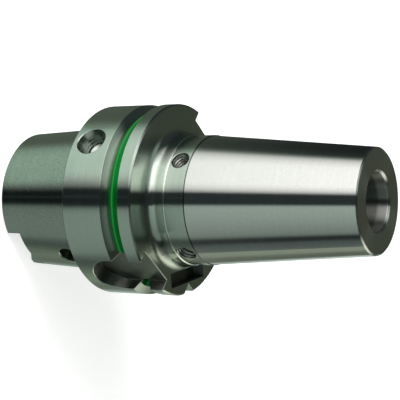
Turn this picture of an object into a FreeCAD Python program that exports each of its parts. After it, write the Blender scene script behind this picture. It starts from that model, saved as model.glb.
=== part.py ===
# Shrink fit chuck: a hollow taper shank of size 63 with a flange that a gripper holds, and a
# slender nose whose ground bore is a little smaller than the shank of the cutter. The nose is
# heated, the cutter drops in, and the cooling nose grips it.
#
# Frame: the origin is the centre of the contact face, where the flange meets the spindle. +Z runs
# along the axis towards the nose. +X is the side of the narrow keyway, -Y the side of the hole for
# the data chip. Lengths are millimetres, angles degrees.
import FreeCAD, Part
import os
import re
import Sketcher

# Sizes that can be set by themselves. Heights are distances from the contact face along +Z, and
# depths below it are positive.
SIZES = {
    # Nose and its clamping bore
    "gauge_length": 95.0,
    "bore_dia": 18.0,
    "bore_mouth_break": 0.7,
    "nose_dia": 33.0,
    "nose_edge_break": 0.45,
    "cone_angle": 4.5,
    # Band with the balancing threads, at the foot of the cone
    "band_front": 39.0,
    "band_dia": 42.2,
    "balance_count": 4,
    "balance_thread_dia": 6.0,
    "balance_thread_depth": 8.0,
    "balance_mouth_break": 0.2,
    "drill_point_angle": 118.0,
    # Neck between the band and the flange
    "neck_front": 31.4,
    "neck_dia": 42.8,
    "neck_fillet": 3.0,
    # Flange with the gripper groove
    "flange_front": 26.0,
    "flange_dia": 63.0,
    "flange_edge_break": 0.5,
    "groove_centre": 18.0,
    "groove_depth": 4.0,
    "groove_floor_width": 2.0,
    "groove_angle": 60.0,
    # Keyways on the flange: the narrow one on +X, the wide one on -X
    "key_depth": 5.0,
    "key_end": 4.8,
    "narrow_key_width": 16.0,
    "wide_key_width": 18.0,
    "key_edge_break": 0.25,
    # Blind hole for a data chip
    "chip_height": 7.1,
    "chip_dia": 10.0,
    "chip_depth": 4.6,
    "chip_mouth_break": 0.3,
    "chip_step_dia": 6.6,
    "chip_step_depth": 1.0,
    # Notch and milled pocket that sit between a keyway and the next balancing thread
    "index_angle": 45.0,
    "notch_depth": 3.4,
    "notch_angle": 90.0,
    "pocket_gap": 1.3,
    "pocket_width": 4.9,
    "pocket_length": 21.0,
    "pocket_depth": 4.0,
    # Contact face and hollow taper shank
    "relief_width": 1.6,
    "relief_depth": 0.6,
    "root_depth": 0.305,
    "root_length": 3.0,
    "shank_gauge_dia": 48.01,
    "shank_gauge_depth": 6.3,
    "shank_taper": 0.1,
    "shank_length": 32.0,
    "shank_edge_break": 0.8,
    "shank_mouth_break": 1.0,
    "clamp_depth": 18.13,
    "clamp_angle": 30.0,
    "clamp_ledge": 3.0,
    "chamber_wall": 4.005,
    "chamber_floor": 3.5,
    "access_depth": 9.0,
    "access_dia": 8.0,
    "access_mouth_break": 0.5,
    "drive_width": 12.54,
    "drive_depth": 6.0,
    "drive_flare_depth": 5.505,
    "drive_flare_angle": 45.0,
    # Coolant tube, its union nut and its two seal rings
    "union_thread_dia": 17.4,
    "union_fit": 0.05,
    "nut_length": 5.0,
    "nut_hole_fit": 0.3,
    "nut_slot_width": 3.0,
    "nut_slot_depth": 2.0,
    "nut_slot_count": 4,
    "tube_dia": 12.0,
    "tube_land": 24.0,
    "tube_waist_depth": 0.3,
    "tube_bore_dia": 8.0,
    "tube_end_depth": 27.0,
    "tube_edge_break": 0.6,
    "collar_dia": 16.4,
    "collar_length": 2.6,
    "spigot_gap": 0.3,
    "seal_section": 2.2,
    "seal_fit": 0.15,
    "float_gap": 0.2,
    # Web with the coolant passage, and the stop screw beyond it
    "coolant_dia": 9.0,
    "coolant_web": 1.5,
    "stop_thread_dia": 12.0,
    "stop_fit": 0.1,
    "stop_gap": 0.2,
    "stop_travel": 10.0,
    "stop_grip": 6.0,
    "stop_sunk": 0.3,
    "stop_edge_break": 0.8,
    "stop_hole_dia": 3.5,
    "stop_socket_flats": 6.0,
    "stop_socket_depth": 6.0,
    # Coloured marker bands in the gripper groove
    "marker_fit": 0.05,
    "marker_edge_depth": 2.6,
    "marker_bulge": 0.6,
    "marker_end_gap": 1.6,
}

# How far a cutter runs past the surface that it starts from
OVERCUT = 2.0

# Points closer than this count as one place
NEAR = 1e-3

# Places that several pieces share, as sums of the sizes above
REAR_SEAL_FOOT = "(chamber_floor + nut_length + float_gap)"
COLLAR_FOOT = f"({REAR_SEAL_FOOT} + seal_section + float_gap)"
COLLAR_TOP = f"({COLLAR_FOOT} + collar_length)"
FRONT_SEAL_FOOT = f"({COLLAR_TOP} + float_gap)"
SEAT_FLOOR = f"({FRONT_SEAL_FOOT} + seal_section + float_gap)"
TUBE_WAIST = "(tube_dia / 2 - tube_waist_depth)"
STOP_FLOOR = f"({SEAT_FLOOR} + coolant_web)"
STOP_FOOT = f"({STOP_FLOOR} + stop_gap)"
BORE_FLOOR = f"({STOP_FOOT} + stop_travel + stop_grip)"
GROOVE_SLOPE = "tan(groove_angle / 2)"
GROOVE_FLOOR_DIA = "(flange_dia - 2 * groove_depth)"
KEY_FLOOR = "(flange_dia / 2 - key_depth)"
# The fillet under the neck gives way where the flange leaves it little room
NECK_FILLET = "min(neck_fillet; 0.6 * (flange_dia - neck_dia) / 2)"
BAND_FOOT = "(neck_front + (neck_dia - band_dia) / 2)"
ROOT_RADIUS = "(shank_gauge_dia / 2 - root_depth)"
CHAMBER_RADIUS = "(shank_gauge_dia / 2 - chamber_wall)"
SHANK_BORE_RADIUS = f"({CHAMBER_RADIUS} - clamp_ledge)"


def groove_half_width(dia):
    """Half the width of the gripper groove, measured along Z, at a diameter."""
    return f"(groove_floor_width / 2 + ({dia} - {GROOVE_FLOOR_DIA}) / 2 * {GROOVE_SLOPE})"


def cone_radius(height):
    """Radius of the outer cone of the nose at a height."""
    return f"(nose_dia / 2 + (gauge_length - {height}) * tan(cone_angle))"


def shank_radius(depth):
    """Radius of the taper shank at a depth below the contact face."""
    return f"(shank_gauge_dia / 2 - ({depth} - shank_gauge_depth) * shank_taper / 2)"


def on_sheet(words):
    """The same sum with each size's name pointing at its cell."""
    return re.sub(r"[a-z_]+", lambda m: "Sizes." + m.group() if m.group() in SIZES else m.group(), words)


def make_sheet(document):
    """Writes every size to a sheet, one row each, with its name as the alias."""
    sheet = document.addObject("Spreadsheet::Sheet", "Sizes")
    for row, (name, value) in enumerate(SIZES.items(), start=1):
        sheet.set(f"A{row}", name.replace("_", " "))
        sheet.set(f"B{row}", str(value))
        sheet.setAlias(f"B{row}", name)
    document.recompute()
    return sheet


class Model:
    """The document, its sheet, and the sub-parts in it."""

    def __init__(self):
        self.document = FreeCAD.newDocument("ShrinkFitChuck")
        self.sheet = make_sheet(self.document)
        self.subparts = []

    def value(self, words):
        """A sum of sizes as a number."""
        found = self.sheet.evalExpression(on_sheet(words))
        return float(getattr(found, "Value", found))

    def bind(self, thing, prop, words):
        """Ties a property of a thing to a sum of sizes."""
        thing.setExpression(prop, on_sheet(words))

    def body(self, label):
        """An empty body whose label names its file."""
        made = self.document.addObject("PartDesign::Body", label)
        made.Label = label
        self.subparts.append(made)
        return made

    def sketch(self, body, name, role, lift="0", rise="0", turn="0"):
        """A sketch on an origin plane. It is lifted along the plane's normal, its own origin is
        moved up the plane by rise, and it is turned about the normal."""
        made = body.newObject("Sketcher::SketchObject", name)
        plane = [feature for feature in body.Origin.OriginFeatures if feature.Role == role]
        made.AttachmentSupport = [(plane[0], "")]
        made.MapMode = "FlatFace"
        start = FreeCAD.Vector(0, self.value(rise), self.value(lift))
        made.AttachmentOffset = FreeCAD.Placement(
            start, FreeCAD.Rotation(FreeCAD.Vector(0, 0, 1), self.value(turn)))
        self.bind(made, "AttachmentOffset.Base.y", rise)
        self.bind(made, "AttachmentOffset.Base.z", lift)
        self.bind(made, "AttachmentOffset.Rotation.Angle", f"({turn}) * 1 deg")
        return made

    def hold(self, sketch, constraint, words):
        """Adds a dimension to a sketch and ties it to a sum of sizes."""
        index = sketch.addConstraint(constraint)
        self.bind(sketch, f"Constraints[{index}]", words)

    def pin_point(self, sketch, edge, end, across, up):
        """Fixes one end of an edge at (across, up) from the sketch's origin."""
        if across == "0":
            sketch.addConstraint(Sketcher.Constraint("PointOnObject", edge, end, -2))
        else:
            distance = Sketcher.Constraint("DistanceX", -1, 1, edge, end, self.value(across))
            self.hold(sketch, distance, across)
        if up == "0":
            sketch.addConstraint(Sketcher.Constraint("PointOnObject", edge, end, -1))
        else:
            distance = Sketcher.Constraint("DistanceY", -1, 1, edge, end, self.value(up))
            self.hold(sketch, distance, up)

    def outline(self, sketch, corners, arcs=None):
        """Draws a closed outline through corners, each an (across, up) pair of sums.

        arcs maps the number of a corner to (way, centre, middle): the edge from that corner to
        the next is then an arc. Its centre lies at the distance centre along way, X or Y, and
        middle is a point that it passes.
        """
        arcs = arcs or {}
        points = [FreeCAD.Vector(self.value(x), self.value(y), 0) for x, y in corners]
        ends = []
        for number, point in enumerate(points):
            following = points[(number + 1) % len(points)]
            if number in arcs:
                x, y = arcs[number][2]
                middle = FreeCAD.Vector(self.value(x), self.value(y), 0)
                edge = sketch.addGeometry(Part.Arc(point, middle, following), False)
                straight_on = sketch.getPoint(edge, 1).distanceToPoint(point) < 1e-6
                ends.append((edge, 1, 2) if straight_on else (edge, 2, 1))
            else:
                edge = sketch.addGeometry(Part.LineSegment(point, following), False)
                ends.append((edge, 1, 2))
        for number, (across, up) in enumerate(corners):
            edge, first, _ = ends[number]
            before, _, last = ends[number - 1]
            sketch.addConstraint(Sketcher.Constraint("Coincident", before, last, edge, first))
            self.pin_point(sketch, edge, first, across, up)
        for number, (way, centre, _) in arcs.items():
            place = Sketcher.Constraint("Distance" + way, -1, 1, ends[number][0], 3, self.value(centre))
            self.hold(sketch, place, centre)

    def turn_up(self, body, name, corners, arcs=None, angle=360.0, reverse=False):
        """Revolves an outline of (radius, height) corners about the body's Z axis."""
        sketch = self.sketch(body, name + "Profile", "XZ_Plane")
        self.outline(sketch, corners, arcs)
        made = body.newObject("PartDesign::Revolution", name)
        made.Profile = sketch
        made.ReferenceAxis = (sketch, ["V_Axis"])
        made.Angle = angle
        made.Reversed = reverse
        self.document.recompute()
        return made

    def mill(self, body, name, sketch, depth, upward):
        """Cuts a sketch into the body to a depth, along the sketch's normal if upward."""
        before = body.Shape.Volume
        made = body.newObject("PartDesign::Pocket", name)
        made.Profile = sketch
        made.Length = self.value(depth)
        self.bind(made, "Length", depth)
        made.Reversed = upward
        self.document.recompute()
        check_cut(name, before, body.Shape.Volume)
        return made

    def bore(self, body, name, role, rise, corners):
        """Turns an outline of (distance from the main axis, radius) corners about a radial axis
        at a height, and cuts it from the body."""
        before = body.Shape.Volume
        sketch = self.sketch(body, name + "Profile", role, rise=rise)
        self.outline(sketch, corners)
        made = body.newObject("PartDesign::Groove", name)
        made.Profile = sketch
        made.ReferenceAxis = (sketch, ["H_Axis"])
        made.Angle = 360.0
        self.document.recompute()
        check_cut(name, before, body.Shape.Volume)
        return made

    def repeat(self, body, name, feature, count):
        """Repeats a cut round the Z axis."""
        before = body.Shape.Volume
        made = body.newObject("PartDesign::PolarPattern", name)
        made.Originals = [feature]
        axis = [item for item in body.Origin.OriginFeatures if item.Role == "Z_Axis"]
        made.Axis = (axis[0], [""])
        made.Angle = 360.0
        made.Occurrences = int(self.value(count))
        self.bind(made, "Occurrences", count)
        body.Tip = made
        self.document.recompute()
        check_cut(name, before, body.Shape.Volume)
        return made


def check_cut(name, before, after):
    """Stops if a cut took nothing away."""
    if not after < before - 1e-3:
        raise RuntimeError(f"{name} cut nothing")


def chuck_profile():
    """Corners of the turned body, as (radius, height), and its one arc."""
    corners = [
        ("bore_dia / 2 + bore_mouth_break", "gauge_length"),
        ("nose_dia / 2 - nose_edge_break", "gauge_length"),
        (cone_radius("(gauge_length - nose_edge_break)"), "gauge_length - nose_edge_break"),
        (cone_radius("band_front"), "band_front"),
        ("band_dia / 2", "band_front"),
        ("band_dia / 2", BAND_FOOT),
        ("neck_dia / 2", "neck_front"),
        ("neck_dia / 2", f"flange_front + {NECK_FILLET}"),
        (f"neck_dia / 2 + {NECK_FILLET}", "flange_front"),
        ("flange_dia / 2 - flange_edge_break", "flange_front"),
        ("flange_dia / 2", "flange_front - flange_edge_break"),
        ("flange_dia / 2", f"groove_centre + {groove_half_width('flange_dia')}"),
        (f"{GROOVE_FLOOR_DIA} / 2", "groove_centre + groove_floor_width / 2"),
        (f"{GROOVE_FLOOR_DIA} / 2", "groove_centre - groove_floor_width / 2"),
        ("flange_dia / 2", f"groove_centre - {groove_half_width('flange_dia')}"),
        ("flange_dia / 2", "flange_edge_break"),
        ("flange_dia / 2 - flange_edge_break", "0"),
        (f"{ROOT_RADIUS} + relief_width", "0"),
        (f"{ROOT_RADIUS} + relief_width - relief_depth", "relief_depth"),
        (ROOT_RADIUS, "relief_depth"),
        (ROOT_RADIUS, f"-root_length + {shank_radius('root_length')} - {ROOT_RADIUS}"),
        (shank_radius("root_length"), "-root_length"),
        (shank_radius("(shank_length - shank_edge_break)"), "-shank_length + shank_edge_break"),
        (f"{shank_radius('shank_length')} - shank_edge_break", "-shank_length"),
        (f"{SHANK_BORE_RADIUS} + shank_mouth_break", "-shank_length"),
        (SHANK_BORE_RADIUS, "-shank_length + shank_mouth_break"),
        (SHANK_BORE_RADIUS, "-clamp_depth"),
        (CHAMBER_RADIUS, "-clamp_depth + clamp_ledge / tan(clamp_angle)"),
        (CHAMBER_RADIUS, "chamber_floor"),
        ("union_thread_dia / 2", "chamber_floor"),
        ("union_thread_dia / 2", SEAT_FLOOR),
        ("coolant_dia / 2", SEAT_FLOOR),
        ("coolant_dia / 2", STOP_FLOOR),
        ("stop_thread_dia / 2", STOP_FLOOR),
        ("stop_thread_dia / 2", BORE_FLOOR),
        ("bore_dia / 2", BORE_FLOOR),
        ("bore_dia / 2", "gauge_length - bore_mouth_break"),
    ]
    # The fillet's middle lies on the line from its centre at 45 degrees
    lean = f"{NECK_FILLET} * (1 - cos(45))"
    centre = f"neck_dia / 2 + {NECK_FILLET}"
    arcs = {7: ("X", centre, (f"neck_dia / 2 + {lean}", f"flange_front + {lean}"))}
    return corners, arcs


def radial_hole(surface, dia, depth, mouth_break, step=None):
    """Outline of a hole drilled towards the main axis from a surface at a distance from it, as
    (distance from the main axis, radius) corners. It ends in a drill point. step is the diameter
    and depth of a smaller hole that goes on from a flat floor and holds the point instead."""
    floor = f"({surface} - {depth})"
    corners = [(f"({surface} + {OVERCUT})", f"{dia} / 2 + {mouth_break} + {OVERCUT}"),
               (f"({surface} - {mouth_break})", f"{dia} / 2"), (floor, f"{dia} / 2")]
    if step:
        dia, depth = step
        corners.append((floor, f"{dia} / 2"))
        floor = f"({floor} - {depth})"
        corners.append((floor, f"{dia} / 2"))
    corners.append((f"({floor} - {dia} / 2 / tan(drill_point_angle / 2))", "0"))
    return corners + [(f"({surface} + {OVERCUT})", "0")]


def mirrored(corners):
    """The same outline on the negative side of its plane."""
    return [(f"-{across}", up) for across, up in corners]


def make_keyway(model, body, name, width, side):
    """Mills one keyway: flat floor, straight walls, and a round end towards the shank. side is 1
    for the keyway on +X and -1 for the one on -X."""
    sketch = model.sketch(body, name + "Outline", "YZ_Plane", lift=f"{side} * {KEY_FLOOR}")
    start = f"key_end + {width} / 2"
    top = f"flange_front + {OVERCUT}"
    corners = [(f"{width} / 2", top), (f"-{width} / 2", top),
               (f"-{width} / 2", start), (f"{width} / 2", start)]
    model.outline(sketch, corners, {2: ("Y", start, ("0", "key_end"))})
    depth = f"key_depth + {OVERCUT}"
    model.mill(body, name, sketch, depth, upward=side > 0)


def break_key_edges(model, body, name, width, side):
    """Breaks the sharp edges of one keyway, on the flange's rim and on its front face."""
    rim, front = model.value("flange_dia / 2"), model.value("flange_front")
    half, slant = model.value(f"{width} / 2"), model.value("flange_edge_break")

    def is_outline(point):
        out = (point.x ** 2 + point.y ** 2) ** 0.5
        if point.x * side <= 0 or abs(point.y) > half + NEAR:
            return False
        on_wall = abs(abs(point.y) - half) < NEAR
        on_slant = on_wall and abs(rim - out - slant + front - point.z) < NEAR
        return abs(out - rim) < NEAR or abs(point.z - front) < NEAR or on_slant

    chosen = []
    for number, edge in enumerate(body.Shape.Edges, start=1):
        start, end = edge.ParameterRange
        if all(is_outline(edge.valueAt(start + (end - start) * part)) for part in (0, 0.3, 0.7, 1)):
            chosen.append(f"Edge{number}")
    before, milled = body.Shape.Volume, body.Tip
    made = body.newObject("PartDesign::Chamfer", name)
    made.Base = (milled, chosen)
    made.Size = model.value("key_edge_break")
    model.bind(made, "Size", "key_edge_break")
    model.document.recompute()
    check_cut(name, before, body.Shape.Volume)


def make_index(model, body):
    """Cuts the index notch in the front rim, and the milled pocket behind it at the neck."""
    reach = f"flange_dia / 2 + {OVERCUT}"
    apex = "(flange_dia / 2 - notch_depth)"
    spread = f"(({reach}) - {apex}) * tan(notch_angle / 2)"
    notch = model.sketch(body, "NotchOutline", "XY_Plane", lift="flange_front", turn="index_angle")
    model.outline(notch, [(apex, "0"), (reach, f"-{spread}"), (reach, spread)])
    model.mill(body, "IndexNotch", notch, "flange_front - groove_centre", upward=False)
    near = "(neck_dia / 2 + pocket_gap)"
    far = f"({near} + pocket_width)"
    pocket = model.sketch(body, "PocketOutline", "XY_Plane", lift="neck_front", turn="index_angle")
    model.outline(pocket, [(near, "-pocket_length / 2"), (far, "-pocket_length / 2"),
                           (far, "pocket_length / 2"), (near, "pocket_length / 2")])
    depth = "neck_front - flange_front + pocket_depth"
    model.mill(body, "MilledPocket", pocket, depth, upward=False)


def make_drive_slots(model, body):
    """Cuts the two slots in the shank's end. Each one flares towards the outside."""
    inside = f"{SHANK_BORE_RADIUS} / 2"
    bend = "(shank_gauge_dia / 2 - drive_flare_depth)"
    outside = f"(shank_gauge_dia / 2 + {OVERCUT})"
    half = "drive_width / 2"
    flared = f"(drive_width / 2 + ({outside} - {bend}) * tan(drive_flare_angle))"
    sketch = model.sketch(body, "DriveOutline", "XY_Plane", lift="-shank_length")
    model.outline(sketch, [
        (inside, f"-{half}"), (bend, f"-{half}"), (outside, f"-{flared}"),
        (outside, flared), (bend, half), (inside, half)])
    first = model.mill(body, "DriveSlot", sketch, "drive_depth", upward=True)
    model.repeat(body, "DriveSlots", first, "2")


def make_chuck_body(model):
    """The one-piece steel body: turned, ground, then milled and drilled."""
    body = model.body("chuck_body")
    corners, arcs = chuck_profile()
    model.turn_up(body, "Turned", corners, arcs)
    make_keyway(model, body, "NarrowKeyway", "narrow_key_width", 1)
    make_keyway(model, body, "WideKeyway", "wide_key_width", -1)
    make_index(model, body)
    chip = radial_hole("flange_dia / 2", "chip_dia", "chip_depth", "chip_mouth_break",
                       ("chip_step_dia", "chip_step_depth"))
    model.bore(body, "ChipHole", "YZ_Plane", "chip_height", mirrored(chip))
    thread = radial_hole("band_dia / 2", "balance_thread_dia", "balance_thread_depth",
                         "balance_mouth_break")
    middle = f"({BAND_FOOT} + band_front) / 2"
    first = model.bore(body, "BalanceThread", "XZ_Plane", middle, thread)
    model.repeat(body, "BalanceThreads", first, "balance_count")
    wall = f"({shank_radius('access_depth')})"
    access = radial_hole(wall, "access_dia", f"({wall} - {SHANK_BORE_RADIUS} / 2)", "access_mouth_break")
    first = model.bore(body, "AccessHole", "XZ_Plane", "-access_depth", access)
    model.repeat(body, "AccessHoles", first, "2")
    make_drive_slots(model, body)
    break_key_edges(model, body, "NarrowKeyBreak", "narrow_key_width", 1)
    break_key_edges(model, body, "WideKeyBreak", "wide_key_width", -1)
    return body


def make_marker(model, label, side):
    """One coloured band in the gripper groove, from keyway to keyway. side is 1 for the band on
    +Y and -1 for the one on -Y."""
    body = model.body(label)
    floor = f"({GROOVE_FLOOR_DIA} / 2 + marker_fit)"
    foot = f"({groove_half_width(f'(2 * {floor})')} - marker_fit)"
    edge = "(flange_dia / 2 - marker_edge_depth)"
    half = f"({groove_half_width(f'(2 * {edge})')} - marker_fit)"
    crown = f"({edge} + marker_bulge)"
    radius = f"({half} * {half} + marker_bulge * marker_bulge) / (2 * marker_bulge)"
    corners = [(floor, f"groove_centre - {foot}"), (edge, f"groove_centre - {half}"),
               (edge, f"groove_centre + {half}"), (floor, f"groove_centre + {foot}")]
    arcs = {1: ("X", f"{crown} - {radius}", (crown, "groove_centre"))}
    model.turn_up(body, "Band", corners, arcs, angle=180.0, reverse=side < 0)
    for name, width, sign in (("NarrowEnd", "narrow_key_width", ""), ("WideEnd", "wide_key_width", "-")):
        sketch = model.sketch(body, name + "Outline", "XZ_Plane")
        near, far = f"{sign}{KEY_FLOOR} / 2", f"{sign}flange_dia"
        low = f"groove_centre - {groove_half_width('flange_dia')}"
        high = f"groove_centre + {groove_half_width('flange_dia')}"
        model.outline(sketch, [(near, low), (far, low), (far, high), (near, high)])
        model.mill(body, name, sketch, f"{width} / 2 + marker_end_gap", upward=side < 0)
    return body


def make_stop_screw(model):
    """Headless screw that the cutter's shank stands on: hollow, with a hexagon socket."""
    body = model.body("stop_screw")
    top = f"({BORE_FLOOR} - stop_sunk)"
    outer = "(stop_thread_dia / 2 - stop_fit)"
    inner = "stop_hole_dia / 2"
    edge = "stop_edge_break"
    model.turn_up(body, "Turned", [
        (inner, STOP_FOOT), (f"{outer} - {edge}", STOP_FOOT), (outer, f"{STOP_FOOT} + {edge}"),
        (outer, f"{top} - {edge}"), (f"{outer} - {edge}", top), (inner, top)])
    socket = model.sketch(body, "SocketOutline", "XY_Plane", lift=top)
    reach = "stop_socket_flats / 2 / cos(30)"
    turns = [60 * number for number in range(6)]
    model.outline(socket, [(f"{reach} * cos({turn} + 30)", f"{reach} * sin({turn} + 30)")
                           for turn in turns])
    model.mill(body, "Socket", socket, "stop_socket_depth", upward=False)
    return body


def make_coolant_tube(model):
    """Tube that carries coolant from the spindle, with the collar that the seals hold."""
    body = model.body("coolant_tube")
    outer, inner, edge = "tube_dia / 2", "tube_bore_dia / 2", "tube_edge_break"
    step = "(-tube_end_depth + tube_land)"
    top = f"({SEAT_FLOOR} - spigot_gap)"
    model.turn_up(body, "Turned", [
        (inner, "-tube_end_depth"), (f"{outer} - {edge}", "-tube_end_depth"),
        (outer, f"-tube_end_depth + {edge}"), (outer, step),
        (TUBE_WAIST, f"{step} + tube_waist_depth"), (TUBE_WAIST, COLLAR_FOOT),
        ("collar_dia / 2", COLLAR_FOOT), ("collar_dia / 2", COLLAR_TOP),
        (TUBE_WAIST, COLLAR_TOP), (TUBE_WAIST, top), (inner, top)])
    return body


def make_tube_nut(model):
    """Union nut that keeps the tube's collar in its seat, with key slots across its end."""
    body = model.body("tube_nut")
    outer = "(union_thread_dia / 2 - union_fit)"
    inner = "(tube_dia / 2 + nut_hole_fit)"
    top = "chamber_floor + nut_length"
    model.turn_up(body, "Turned", [
        (inner, "chamber_floor"), (outer, "chamber_floor"), (outer, top), (inner, top)])
    sketch = model.sketch(body, "SlotOutline", "XY_Plane", lift="chamber_floor")
    model.outline(sketch, [
        ("tube_bore_dia / 2", "-nut_slot_width / 2"), ("union_thread_dia", "-nut_slot_width / 2"),
        ("union_thread_dia", "nut_slot_width / 2"), ("tube_bore_dia / 2", "nut_slot_width / 2")])
    first = model.mill(body, "KeySlot", sketch, "nut_slot_depth", upward=True)
    model.repeat(body, "KeySlots", first, "nut_slot_count")
    return body


def make_seal(model, label, foot):
    """One seal ring round the coolant tube, with its lowest point at a height."""
    ring = model.document.addObject("Part::Torus", label)
    ring.Label = label
    model.bind(ring, "Radius1", f"{TUBE_WAIST} + seal_fit + seal_section / 2")
    model.bind(ring, "Radius2", "seal_section / 2")
    model.bind(ring, "Placement.Base.z", f"{foot} + seal_section / 2")
    model.subparts.append(ring)
    return ring


def check_model(model):
    """Stops if any object failed, or if a sub-part isn't one sound solid."""
    for item in model.document.Objects:
        if "Invalid" in item.State or "Error" in item.State:
            raise RuntimeError(f"{item.Name} failed: {item.State}")
    for subpart in model.subparts:
        shape = subpart.Shape
        if shape.isNull() or not shape.isValid() or len(shape.Solids) != 1:
            raise RuntimeError(f"{subpart.Label} isn't one sound solid")


def write_parts(model):
    """Writes each sub-part to a file named after it."""
    os.makedirs("parts", exist_ok=True)
    for subpart in model.subparts:
        subpart.Shape.exportStep(f"parts/{subpart.Label}.step")
        box = subpart.Shape.BoundBox
        print(f"{subpart.Label}: {subpart.Shape.Volume:.1f} mm3, z {box.ZMin:.2f} to {box.ZMax:.2f}")


def main():
    """Builds every piece, checks it and writes it."""
    model = Model()
    make_chuck_body(model)
    make_marker(model, "marker_band_left", 1)
    make_marker(model, "marker_band_right", -1)
    make_stop_screw(model)
    make_coolant_tube(model)
    make_tube_nut(model)
    make_seal(model, "tube_seal_front", FRONT_SEAL_FOOT)
    make_seal(model, "tube_seal_rear", REAR_SEAL_FOOT)
    model.document.recompute()
    check_model(model)
    write_parts(model)


main()
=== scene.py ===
"""Looks of the shrink fit chuck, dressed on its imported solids.

The chuck stands on the end of its shank with the nose up. The steel is turned and ground, so every
round surface carries a fine lay that runs round the axis, and a light in front of it shows as a long
band from shank to nose. The studio is made of such bands. Lengths are metres, angles degrees.
"""
from __future__ import annotations

import logging
import math
from dataclasses import dataclass
from enum import Enum
from typing import Any

import bpy
import numpy as np
from mathutils import Matrix, Vector


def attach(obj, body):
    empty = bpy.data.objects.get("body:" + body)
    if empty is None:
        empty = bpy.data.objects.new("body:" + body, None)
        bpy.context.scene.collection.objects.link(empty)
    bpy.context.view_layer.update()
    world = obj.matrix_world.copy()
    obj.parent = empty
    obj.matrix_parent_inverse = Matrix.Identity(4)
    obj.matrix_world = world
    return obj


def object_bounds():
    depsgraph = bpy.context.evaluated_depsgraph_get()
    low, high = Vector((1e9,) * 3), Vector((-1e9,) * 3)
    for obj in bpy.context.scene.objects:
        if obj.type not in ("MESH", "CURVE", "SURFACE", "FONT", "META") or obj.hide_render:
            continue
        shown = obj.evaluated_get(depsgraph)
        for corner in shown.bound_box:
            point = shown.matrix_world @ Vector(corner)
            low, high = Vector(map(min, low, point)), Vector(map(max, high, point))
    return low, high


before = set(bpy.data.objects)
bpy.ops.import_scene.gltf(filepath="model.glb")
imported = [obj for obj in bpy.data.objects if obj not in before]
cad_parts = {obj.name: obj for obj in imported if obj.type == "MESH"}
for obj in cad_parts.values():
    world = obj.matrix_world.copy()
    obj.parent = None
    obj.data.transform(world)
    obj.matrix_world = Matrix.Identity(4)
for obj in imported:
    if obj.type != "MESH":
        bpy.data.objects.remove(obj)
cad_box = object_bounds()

log = logging.getLogger("chuck")

MM = 0.001
DEGREES_IN_RADIAN = 180 / math.pi
NOISE_MIDDLE = 0.5
CREST_FLAT = 0.125
ROOT_FLAT = 0.25
WHITE_LIGHT = (1.0, 1.0, 1.0, 1.0)
Colour = tuple[float, float, float]
Span = tuple[float, float]


class Socket:
    """One output of a node. Sums with it add Math nodes to the same tree."""

    def __init__(self, tree: NodeTree, output: bpy.types.NodeSocket) -> None:
        """Keeps the tree and the output that it stands for.

        Args:
            tree: The tree that new nodes are added to.
            output: The node output.
        """
        self.tree = tree
        self.output = output

    def _math(self, operation: str, *values: Any) -> Socket:
        """The output of a new Math node that works on the values."""
        return self.tree.node("ShaderNodeMath", {"operation": operation}, dict(enumerate(values)))

    def __add__(self, other: Any) -> Socket:
        """This plus the other."""
        return self._math("ADD", self, other)

    def __radd__(self, other: Any) -> Socket:
        """The other plus this."""
        return self._math("ADD", other, self)

    def __sub__(self, other: Any) -> Socket:
        """This less the other."""
        return self._math("SUBTRACT", self, other)

    def __rsub__(self, other: Any) -> Socket:
        """The other less this."""
        return self._math("SUBTRACT", other, self)

    def __mul__(self, other: Any) -> Socket:
        """This times the other."""
        return self._math("MULTIPLY", self, other)

    def __rmul__(self, other: Any) -> Socket:
        """The other times this."""
        return self._math("MULTIPLY", other, self)

    def __truediv__(self, other: Any) -> Socket:
        """This over the other."""
        return self._math("DIVIDE", self, other)

    def __abs__(self) -> Socket:
        """The size of this, without its sign."""
        return self._math("ABSOLUTE", self)

    def __gt__(self, other: Any) -> Socket:
        """1 where this is greater than the other, and 0 elsewhere."""
        return self._math("GREATER_THAN", self, other)

    def __lt__(self, other: Any) -> Socket:
        """1 where this is less than the other, and 0 elsewhere."""
        return self._math("LESS_THAN", self, other)

    def most(self, other: Any) -> Socket:
        """The larger of this and the other."""
        return self._math("MAXIMUM", self, other)

    def root(self) -> Socket:
        """The square root of this."""
        return self._math("SQRT", self)

    def within(self, low: float, high: float) -> Socket:
        """1 above low and below high, and 0 elsewhere."""
        return (self > low) * (self < high)

    def between(self, low: float, high: float) -> Socket:
        """A smooth step from 0 at low to 1 at high."""
        inputs = {"Value": self, "From Min": low, "From Max": high}
        return self.tree.node("ShaderNodeMapRange", {"interpolation_type": "SMOOTHSTEP"}, inputs)


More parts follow.
